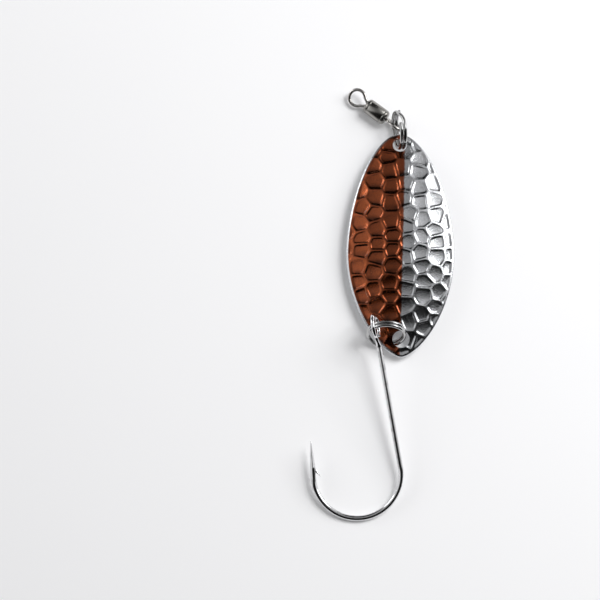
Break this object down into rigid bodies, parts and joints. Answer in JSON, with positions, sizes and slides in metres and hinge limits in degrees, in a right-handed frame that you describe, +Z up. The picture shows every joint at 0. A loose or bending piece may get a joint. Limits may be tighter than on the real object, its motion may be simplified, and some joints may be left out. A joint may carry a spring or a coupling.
{
  "type": "spoon lure",
  "caption": "Hammered, crowned spoon lure lying hollow side down, with a split ring and barrel swivel at the nose and a long-shank single hook on a split ring at the tail.",
  "frame": {"origin": "middle of the lure's box at the level of the table it lies on", "axes": "+X across the blade, +Y from the hook to the swivel, +Z up off the table"},
  "size_m": [0.0364, 0.1098, 0.0109],
  "materials": {
    "hammered_blade": "hammered nickel plate, left half under transparent copper lacquer",
    "ring_wire": "bright nickel-plated spring wire",
    "hook_wire": "bright nickel-plated steel",
    "swivel_barrel": "dark nickel-plated brass",
    "swivel_wire": "nickel-plated wire"
  },
  "bodies": {
    "blade": {"spoon_blade": "hammered_blade"},
    "nose_ring": {"nose_split_ring": "ring_wire"},
    "lure_eye": {"swivel_lure_eye": "swivel_wire"},
    "barrel": {"swivel_barrel": "swivel_barrel"},
    "line_eye": {"swivel_line_eye": "swivel_wire"},
    "tail_ring": {"tail_split_ring": "ring_wire"},
    "hook": {"single_hook": "hook_wire"}
  },
  "joints": [
    {"name": "nose_ring_swing", "type": "hinge", "parent": "blade", "child": "nose_ring", "pos_m": [0.00459, 0.03979, 0.00337], "axis": [0, 0, 1], "range_deg": [-40, 40]},
    {"name": "swivel_swing", "type": "hinge", "parent": "nose_ring", "child": "lure_eye", "pos_m": [0.00349, 0.04544, 0.00182], "axis": [-0.0362, 0.8721, 0.488], "range_deg": [-20, 60]},
    {"name": "barrel_spin", "type": "hinge", "parent": "lure_eye", "child": "barrel", "pos_m": [-0.00126, 0.0488, 0.00215], "axis": [-0.7947, 0.6054, -0.0454], "continuous": true},
    {"name": "line_eye_spin", "type": "hinge", "parent": "barrel", "child": "line_eye", "pos_m": [-0.00611, 0.05249, 0.00188], "axis": [-0.7947, 0.6054, -0.0454], "continuous": true},
    {"name": "tail_ring_swing", "type": "hinge", "parent": "blade", "child": "tail_ring", "pos_m": [0.00459, -0.00961, 0.00298], "axis": [0, 0, 1], "range_deg": [-5, 90]},
    {"name": "hook_swing", "type": "hinge", "parent": "tail_ring", "child": "hook", "pos_m": [-0.00216, -0.00692, 0.00778], "axis": [-0.7672, -0.3021, -0.5658], "range_deg": [-12, 120]}
  ]
}
